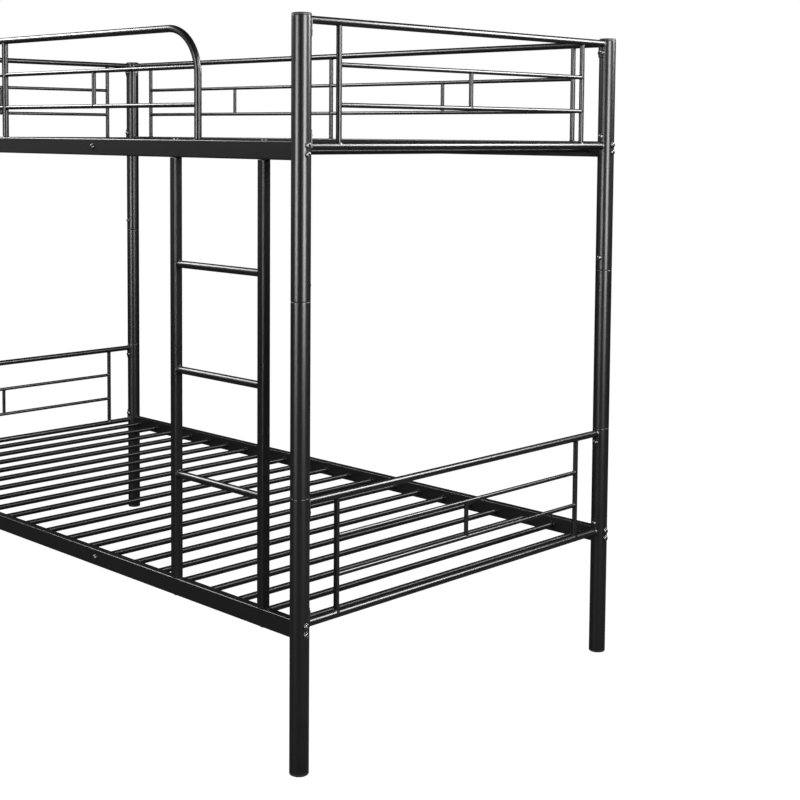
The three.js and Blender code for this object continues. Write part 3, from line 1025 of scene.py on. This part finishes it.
@dataclass(frozen=True)
class BarFrame:
    """What end panels and guard rails share: tubes on plates, uprights, and rods with a spacer."""

    tube_radius: float = 8.0 * MM
    tube_wall: float = 1.0 * MM
    upright_radius: float = 6.0 * MM
    rod_radius: float = 5.0 * MM
    plate_margin: float = 7.0 * MM
    bolt_margin: float = 22.0 * MM

    @property
    def node(self) -> str:
        """The frame node it stands for."""
        raise NotImplementedError

    @property
    def top(self) -> float:
        """The height of the top tube's axis."""
        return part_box(self.node)[1].z - self.plate_margin

    def _tube(self, skin: Skin, path: Sequence[Vector], normal: Vector) -> None:
        """Adds a tube along a path in the plane of a normal."""
        pipe(skin, path, normal, self.tube_radius, self.tube_wall, ROUND)

    def _clasp(self, skin: Skin, column: PostColumn, facing: Vector, bottom: float, height: float) -> None:
        """Adds a plate and the weld of a tube to it.

        Args:
            skin: Where they go.
            column: The column that the plate clasps.
            facing: The way the plate faces.
            bottom: The height of its lower edge.
            height: The height of the tube's axis.
        """
        PLATE.add(skin, column.place, column.radius, facing, bottom)
        reach = PLATE.face_radius(column.radius)
        WELD.add(skin, column.axis(height), facing, UP, self.tube_radius, reach)

    def _top_clasp(self, skin: Skin, column: PostColumn, facing: Vector) -> None:
        """Adds the plate that holds an end of the top tube, and its weld."""
        self._clasp(skin, column, facing, self.top + self.plate_margin - PLATE.height, self.top)

    def _bay(self, skin: Skin, uprights: Sequence[Vector], radii: Sequence[float],
             heights: Sequence[float]) -> None:
        """Adds two rods between two uprights, and the spacer between the rods' middles.

        Args:
            skin: Where they go.
            uprights: A point on each upright's axis.
            radii: The uprights' radii.
            heights: The heights of the lower and the upper rod.
        """
        welds = (SMALL_WELD, SMALL_WELD)
        rods = [[Vector((p.x, p.y, z)) for p in uprights] for z in heights]
        for ends in rods:
            welded_bar(skin, ends, UP, self.rod_radius, welds, radii)
        along = (rods[0][1] - rods[0][0]).normalized()
        spacer = [(left + right) / 2 for left, right in rods]
        welded_bar(skin, spacer, along, self.rod_radius, welds, (self.rod_radius, self.rod_radius))


@dataclass(frozen=True)
class EndPanel(BarFrame):
    """A welded end panel: two tubes, two uprights, two rods with a spacer, and four plates."""

    deck: Deck = Deck.LOWER
    end: End = End.LEFT
    upright_offset: float = 403.0 * MM
    lower_rod_rise: float = 82.5 * MM
    upper_rod_rise: float = 163.0 * MM

    @property
    def node(self) -> str:
        """The panel's frame node."""
        return f"{self.deck.value}_end_panel_{self.end.word}"

    @property
    def bottom(self) -> float:
        """The height of the bottom tube's axis."""
        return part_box(self.node)[0].z + self.plate_margin

    def _columns(self) -> list[tuple[PostColumn, Vector]]:
        """The two columns that the panel joins, each with the way its plates face."""
        return [(PostColumn(Corner(side, self.end)), -side.out) for side in Side]

    def build(self, shop: Workshop) -> None:
        """Makes the panel."""
        skin = Skin()
        columns = self._columns()
        for z in (self.bottom, self.top):
            ends = [column.plate_face(facing, z, PLATE.thickness / 2) for column, facing in columns]
            self._tube(skin, ends, ALONG)
        for column, facing in columns:
            self._clasp(skin, column, facing, self.bottom - self.plate_margin, self.bottom)
            self._top_clasp(skin, column, facing)
        x = columns[0][0].place.x
        uprights = [Vector((x, side.value * self.upright_offset, 0)) for side in Side]
        for foot in uprights:
            ends = [foot + z * UP for z in (self.bottom, self.top)]
            welded_bar(skin, ends, ACROSS, self.upright_radius, (WELD, WELD), [self.tube_radius] * 2)
        rods = [self.bottom + rise for rise in (self.lower_rod_rise, self.upper_rod_rise)]
        self._bay(skin, uprights, [self.upright_radius] * 2, rods)
        shop.add(f"{self.node}_weldment", skin, Slot.RAIL, self.node)

    def bolts(self) -> list[Seat]:
        """Where the bolts through the plates rest, and the way they face."""
        heights = (self.bottom + self.bolt_margin, self.top - self.bolt_margin)
        return [(column.plate_face(way, z), way) for column, way in self._columns() for z in heights]


@dataclass(frozen=True)
class GuardRail(BarFrame):
    """What both guard rails share."""

    side: Side = Side.BACK
    end_upright: float = 872.0 * MM
    lower_rod_drop: float = 164.0 * MM
    upper_rod_drop: float = 83.5 * MM
    head_weld: Weld = WELD

    ENDS = (End.LEFT, End.RIGHT)

    @property
    def node(self) -> str:
        """The guard's frame node."""
        return f"guard_rail_{self.side.word}"

    @property
    def foot(self) -> float:
        """The height of the rail's top, where the uprights are welded."""
        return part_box(self.node)[0].z

    def _column(self, end: End) -> PostColumn:
        """The column at one end."""
        return PostColumn(Corner(self.side, end))

    def _end(self, end: End) -> Vector:
        """Where the top tube meets the plate at one end."""
        return self._column(end).plate_face(-end.out, self.top, PLATE.thickness / 2)

    def _filling(self, skin: Skin, places: Sequence[float]) -> list[Vector]:
        """Adds the plates and the uprights, with their welds.

        Args:
            skin: Where they go.
            places: Where the uprights stand along the bed.

        Returns:
            A point on each upright's axis.
        """
        for end in self.ENDS:
            self._top_clasp(skin, self._column(end), -end.out)
        uprights = [Vector((x, self._column(End.LEFT).place.y, 0)) for x in places]
        for upright in uprights:
            ends = [upright + z * UP for z in (self.foot, self.top)]
            welds = (WELD, self.head_weld)
            welded_bar(skin, ends, ALONG, self.upright_radius, welds, (0.0, self.tube_radius))
        return uprights

    def _rods(self, skin: Skin, uprights: Sequence[Vector], radii: Sequence[float]) -> None:
        """Adds the two rods and the spacer of every bay between uprights."""
        heights = (self.top - self.lower_rod_drop, self.top - self.upper_rod_drop)
        for n in range(len(uprights) - 1):
            self._bay(skin, uprights[n:n + 2], radii[n:n + 2], heights)

    def bolts(self) -> list[Seat]:
        """Where the bolts through the plates rest, and the way they face."""
        height = self.top - self.bolt_margin
        return [(self._column(end).plate_face(-end.out, height), -end.out) for end in self.ENDS]


@dataclass(frozen=True)
class BackGuard(GuardRail):
    """The straight guard rail along the back of the upper bed."""

    def build(self, shop: Workshop) -> None:
        """Makes the guard."""
        skin = Skin()
        self._tube(skin, [self._end(end) for end in End], ACROSS)
        uprights = self._filling(skin, [-self.end_upright, 0.0, self.end_upright])
        self._rods(skin, uprights, [self.upright_radius] * len(uprights))
        shop.add(f"{self.node}_weldment", skin, Slot.RAIL, self.node)


@dataclass(frozen=True)
class FrontGuard(GuardRail):
    """The front guard rail, whose tube bends down to the rail beside the ladder."""

    side: Side = Side.FRONT
    upright_radius: float = 7.7 * MM
    head_weld: Weld = SMALL_WELD
    bend_radius: float = 100.0 * MM
    bend_steps: int = 24
    frame_sides: int = 10

    ENDS = (End.LEFT,)

    def build(self, shop: Workshop) -> None:
        """Makes the guard."""
        skin = Skin()
        flat = self.tube_radius * math.cos(math.pi / self.frame_sides)
        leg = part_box(self.node)[1].x - flat
        start = self._end(End.LEFT)
        corner = Vector((leg - self.bend_radius, start.y, self.top - self.bend_radius))
        turns = [QUARTER * n / self.bend_steps for n in range(self.bend_steps + 1)]
        bend = [corner + Vector((math.sin(t), 0, math.cos(t))) * self.bend_radius for t in turns]
        foot = Vector((leg, start.y, self.foot))
        self._tube(skin, [start, *bend, foot], ACROSS)
        WELD.add(skin, foot, UP, ALONG, self.tube_radius)
        uprights = self._filling(skin, [-self.end_upright, (leg - self.end_upright) / 2])
        self._rods(skin, [*uprights, foot], [self.upright_radius] * len(uprights) + [self.tube_radius])
        shop.add(f"{self.node}_weldment", skin, Slot.RAIL, self.node)


@dataclass(frozen=True)
class SideRail:
    """A rectangular tube between two columns, its ends hollowed to sit against the posts."""

    deck: Deck
    side: Side
    wall: float = 1.2 * MM
    corner: float = 2.5 * MM
    corner_steps: int = 6
    flat_steps: int = 10
    fit: float = 0.15 * MM
    rim: float = 1.2 * MM
    sharp: float = 28.0
    post_bolt_spread: float = 9.0 * MM
    post_bolt_rise: float = 1.5 * MM
    tie_offset: float = 278.6 * MM

    @property
    def node(self) -> str:
        """The rail's frame node."""
        return f"{self.deck.value}_side_rail_{self.side.word}"

    def build(self, shop: Workshop) -> None:
        """Makes the rail."""
        low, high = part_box(self.node)
        centre = (low + high) / 2
        column = PostColumn(Corner(self.side, End.RIGHT))
        cope = column.radius + self.fit
        half = column.place.x

        def ring(inward: float, end: int, inset: float) -> list[Vector]:
            """One ring of the outer or the inner face, following the post's curve at its end."""
            width, height = high.y - low.y - 2 * inward, high.z - low.z - 2 * inward
            section = rounded(width, height, self.corner - inward, self.corner_steps, self.flat_steps)
            return [Vector((end * (half - math.sqrt(cope ** 2 - across ** 2) - inset),
                            centre.y + across, centre.z + up)) for across, up in section]

        rings = [ring(0, -1, 0), ring(0, -1, self.rim), ring(0, 1, self.rim),
                 ring(0, 1, 0), ring(self.wall, 1, 0), ring(self.wall, -1, 0)]
        skin = Skin()
        skin.shell(rings, loop=True, worn=[1, 0, 0, 1, 0, 0])
        shop.add(f"{self.node}_tube", skin, Slot.RAIL, self.node, self.sharp)

    def bolts(self) -> list[Seat]:
        """Where the bolts through the posts rest, two to a post, and the way they face."""
        height = middle(self.node).z + self.post_bolt_rise
        columns = [(PostColumn(Corner(self.side, end)), end.out) for end in End]
        return [(column.axis(height + rise) + way * column.radius, way) for column, way in columns
                for rise in (-self.post_bolt_spread, self.post_bolt_spread)]

    def ties(self) -> list[Seat]:
        """Where the bolts through the rail's outer face rest, and the way they face."""
        low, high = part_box(self.node)
        face = high.y if self.side is Side.BACK else low.y
        height = (low.z + high.z) / 2
        return [(Vector((end.value * self.tie_offset, face, height)), self.side.out) for end in End]


@dataclass(frozen=True)
class SlatDeck:
    """The rows of round slats between a bed's side rails."""

    deck: Deck
    rows: int = 7
    per_row: int = 3
    radius: float = 7.0 * MM
    below_rail_top: float = 21.0 * MM

    def build(self, shop: Workshop) -> None:
        """Makes each row."""
        front, back = (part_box(f"{self.deck.value}_side_rail_{side.word}") for side in Side)
        across = (back[0].y + front[1].y) / 2
        for row in range(1, self.rows + 1):
            node = f"{self.deck.value}_slat_row_{row}"
            low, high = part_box(node)
            first = low.x + self.radius
            shop.add_slats(f"{node}_tubes", node, {
                "Count": self.per_row, "Radius": self.radius, "Length": back[0].y - front[1].y,
                "Pitch": (high.x - self.radius - first) / (self.per_row - 1),
                "Start": (first, across, front[1].z - self.below_rail_top)})


@dataclass(frozen=True)
class Ladder:
    """The ladder: two square stiles and three round rungs, bolted between the front rails."""

    node: str = "ladder"
    stile: float = 20.0 * MM
    corner: float = 3.0 * MM
    corner_steps: int = 6
    rim: float = 0.6 * MM
    rungs: int = 3
    rung_radius: float = 8.0 * MM

    def _stile(self, skin: Skin, x: float, y: float, bottom: float, top: float) -> None:
        """Adds a stile with eased ends."""
        def ring(height: float, inset: float) -> list[Vector]:
            """The stile's rounded square at a height."""
            size = self.stile - 2 * inset
            outline = rounded(size, size, self.corner - inset, self.corner_steps)
            return [Vector((x + along, y + across, height)) for along, across in outline]

        eases = ((0, self.rim), (self.rim, 0), (3 * self.rim, 0))
        rings = [ring(bottom + rise, inset) for rise, inset in eases]
        rings += [ring(top - rise, inset) for rise, inset in reversed(eases)]
        skin.shell(rings, worn=[1, 1, 0, 0, 1, 1])

    def stiles(self) -> list[float]:
        """Where the stiles stand along the bed."""
        low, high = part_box(self.node)
        return [low.x + self.stile / 2, high.x - self.stile / 2]

    def build(self, shop: Workshop) -> None:
        """Makes the ladder."""
        low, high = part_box(self.node)
        y = (low.y + high.y) / 2
        skin = Skin()
        for x in self.stiles():
            self._stile(skin, x, y, low.z, high.z)
        left, right = low.x + self.stile, high.x - self.stile
        for n in range(1, self.rungs + 1):
            height = low.z + n * (high.z - low.z) / (self.rungs + 1)
            ends = [Vector((left - self.rim, y, height)), Vector((right + self.rim, y, height))]
            pipe(skin, ends, ACROSS, self.rung_radius, sides=ROUND)
            for x, way in ((left, ALONG), (right, -ALONG)):
                WELD.add(skin, Vector((x, y, height)), way, UP, self.rung_radius)
        shop.add("ladder_weldment", skin, Slot.RAIL, self.node)

    def bolts(self) -> list[Seat]:
        """Where the bolts through the rails into the stiles rest, and the way they face."""
        y = middle(self.node).y
        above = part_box("upper_side_rail_front")[1].z
        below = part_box("lower_side_rail_front")[0].z
        return [(Vector((x, y, z)), way) for x in self.stiles() for z, way in ((above, UP), (below, -UP))]


# ---- studio ----
@dataclass(frozen=True)
class StudioCamera:
    """The camera, in front of the ladder end and a little above the upper rail."""

    place: tuple[float, float, float] = (3.075, -2.427, 1.289)
    yaw: float = 44.96
    pitch: float = -4.0
    roll: float = 0.38
    lens: float = 65.3
    shift: tuple[float, float] = (0.0426, -0.2066)

    def build(self) -> None:
        """Makes the camera and sets it as the scene's."""
        data = bpy.data.cameras.new("camera")
        data.lens = self.lens
        data.shift_x, data.shift_y = self.shift
        camera = bpy.data.objects.new("camera", data)
        bpy.context.scene.collection.objects.link(camera)
        yaw, pitch, roll = (math.radians(v) for v in (self.yaw, self.pitch, self.roll))
        ahead = Vector((-math.sin(yaw) * math.cos(pitch), math.cos(yaw) * math.cos(pitch), math.sin(pitch)))
        level = Vector((math.cos(yaw), math.sin(yaw), 0))
        rise = level.cross(ahead)
        right = level * math.cos(roll) + rise * math.sin(roll)
        over = rise * math.cos(roll) - level * math.sin(roll)
        turn = Matrix((right, over, -ahead)).transposed().to_4x4()
        camera.matrix_world = Matrix.Translation(Vector(self.place)) @ turn
        bpy.context.scene.camera = camera


@dataclass(frozen=True)
class SoftBox:
    """A rectangular studio light, aimed at the ladder end of the upper bed unless told otherwise."""

    name: str
    place: tuple[float, float, float]
    width: float
    height: float
    radiance: float
    aim: tuple[float, float, float] = (0.8, 0.0, 1.4)

    def build(self) -> None:
        """Makes the light, unseen by the camera."""
        data = bpy.data.lights.new(self.name, "AREA")
        data.shape = "RECTANGLE"
        data.size, data.size_y = self.width, self.height
        data.energy = self.radiance * math.pi * self.width * self.height
        light = bpy.data.objects.new(self.name, data)
        bpy.context.scene.collection.objects.link(light)
        way = Vector(self.aim) - Vector(self.place)
        turn = way.to_track_quat("-Z", "Y").to_matrix().to_4x4()
        light.matrix_world = Matrix.Translation(Vector(self.place)) @ turn
        light.visible_camera = False


@dataclass(frozen=True)
class Studio:
    """A pale floor, a pale backdrop all round, and soft boxes."""

    floor_size: float = 60.0
    floor_glow: float = 1.0
    floor_matt: float = 0.02
    floor_bounce: float = 0.07
    backdrop: float = 1.0
    dim: float = 0.012

    LIGHTS = (
        SoftBox("strip_right", (3.2, -0.5, 1.75), 1.1, 2.3, 17.0),
        SoftBox("strip_left", (0.5, -6.0, 2.1), 2.4, 3.4, 9.0),
        SoftBox("strip_low", (0.5, -6.0, 0.85), 2.4, 1.2, 8.0),
        SoftBox("front_left", (-4.0, -3.0, 1.6), 4.4, 2.2, 0.28, aim=(0.0, -0.5, 1.3)),
        SoftBox("side_right", (2.1, 1.6, 2.2), 0.9, 1.1, 27.0),
        SoftBox("rim_right", (3.3, 3.0, 3.5), 1.5, 0.9, 6.0),
        SoftBox("side_left", (-1.8, -1.1, 2.55), 0.9, 1.1, 16.0),
        SoftBox("rim_left", (-3.6, -2.2, 3.5), 1.5, 0.9, 16.0),
    )

    def build(self) -> None:
        """Makes the floor, the world and the lights."""
        self._floor()
        self._world()
        for light in self.LIGHTS:
            light.build()
        bpy.context.scene.view_settings.view_transform = "Standard"

    @staticmethod
    def _by_ray(make: Tree, reflected: bpy.types.Node, seen: bpy.types.Node) -> bpy.types.NodeSocket:
        """One shader for light and reflections, and another for what the camera sees."""
        path = make.node("ShaderNodeLightPath")
        return make.node("ShaderNodeMixShader", {
            0: path.outputs["Is Camera Ray"], 1: reflected.outputs[0], 2: seen.outputs[0]}).outputs[0]

    def _floor(self) -> None:
        """Makes the floor: pale to the camera, dim in reflections."""
        half = self.floor_size / 2
        mesh = bpy.data.meshes.new("floor")
        corners = [(-half, -half, 0), (half, -half, 0), (half, half, 0), (-half, half, 0)]
        mesh.from_pydata(corners, [], [(0, 1, 2, 3)])
        material = bpy.data.materials.new("floor")
        make = emptied(material)
        glow = make.node("ShaderNodeEmission", {"Color": (1, 1, 1, 1), "Strength": self.floor_glow})
        matt = make.node("ShaderNodeBsdfDiffuse", {"Color": (*[self.floor_matt] * 3, 1)})
        both = make.node("ShaderNodeAddShader", {0: glow.outputs[0], 1: matt.outputs[0]})
        bounce = make.node("ShaderNodeBsdfDiffuse", {"Color": (*[self.floor_bounce] * 3, 1)})
        make.node("ShaderNodeOutputMaterial", {"Surface": self._by_ray(make, bounce, both)})
        mesh.materials.append(material)
        placed_piece("floor", mesh)

    def _world(self) -> None:
        """Makes the surroundings: white behind the bed, dim in reflections."""
        world = bpy.data.worlds.new("studio")
        bpy.context.scene.world = world
        make = emptied(world)
        dim = make.node("ShaderNodeBackground", {"Color": (1, 1, 1, 1), "Strength": self.dim})
        white = make.node("ShaderNodeBackground", {"Color": (1, 1, 1, 1), "Strength": self.backdrop})
        make.node("ShaderNodeOutputWorld", {"Surface": self._by_ray(make, dim, white)})


# ---- the whole bed ----
def build_bolts(shop: Workshop, rails: Sequence[SideRail], panels: Sequence[EndPanel],
                guards: Sequence[GuardRail], ladder: Ladder, columns: Sequence[PostColumn]) -> None:
    """Makes every bolt, in sets by what they hold.

    Args:
        shop: The workshop.
        rails: The side rails.
        panels: The end panels.
        guards: The guard rails.
        ladder: The ladder.
        columns: The post columns.
    """
    for rail in rails:
        name = f"{rail.deck.value}_{rail.side.word}"
        shop.add_bolts(f"rail_bolts_{name}", rail.bolts())
        shop.add_bolts(f"tie_bolts_{name}", rail.ties())
    for panel in panels:
        shop.add_bolts(f"panel_bolts_{panel.deck.value}_{panel.end.word}", panel.bolts())
    for guard in guards:
        shop.add_bolts(f"guard_bolts_{guard.side.word}", guard.bolts())
    shop.add_bolts("joint_bolts", [column.joint_bolt() for column in columns],
                   [f"joint_bolt_{corner.name}" for corner in CORNERS])
    nodes = [f"ladder_bolt_{level.value}_{end.word}" for level in reversed(Deck) for end in End]
    shop.add_bolts("ladder_bolts", ladder.bolts(), nodes, head_height=2.0 * MM, socket_depth=1.4 * MM)


def main() -> None:
    """Builds the bed piece by piece, then the studio."""
    logging.basicConfig(level=logging.INFO, format="%(message)s")
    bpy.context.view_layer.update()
    shop = Workshop()
    columns = [PostColumn(corner) for corner in CORNERS]
    panels = [EndPanel(deck=deck, end=end) for deck in Deck for end in End]
    rails = [SideRail(deck, side) for deck in Deck for side in Side]
    slats = [SlatDeck(deck) for deck in Deck]
    guards = [BackGuard(), FrontGuard()]
    ladder = Ladder()
    for part in (*columns, *panels, *rails, *slats, *guards, ladder):
        part.build(shop)
    build_bolts(shop, rails, panels, guards, ladder, columns)
    StudioCamera().build()
    Studio().build()


if __name__ == "__main__":
    main()
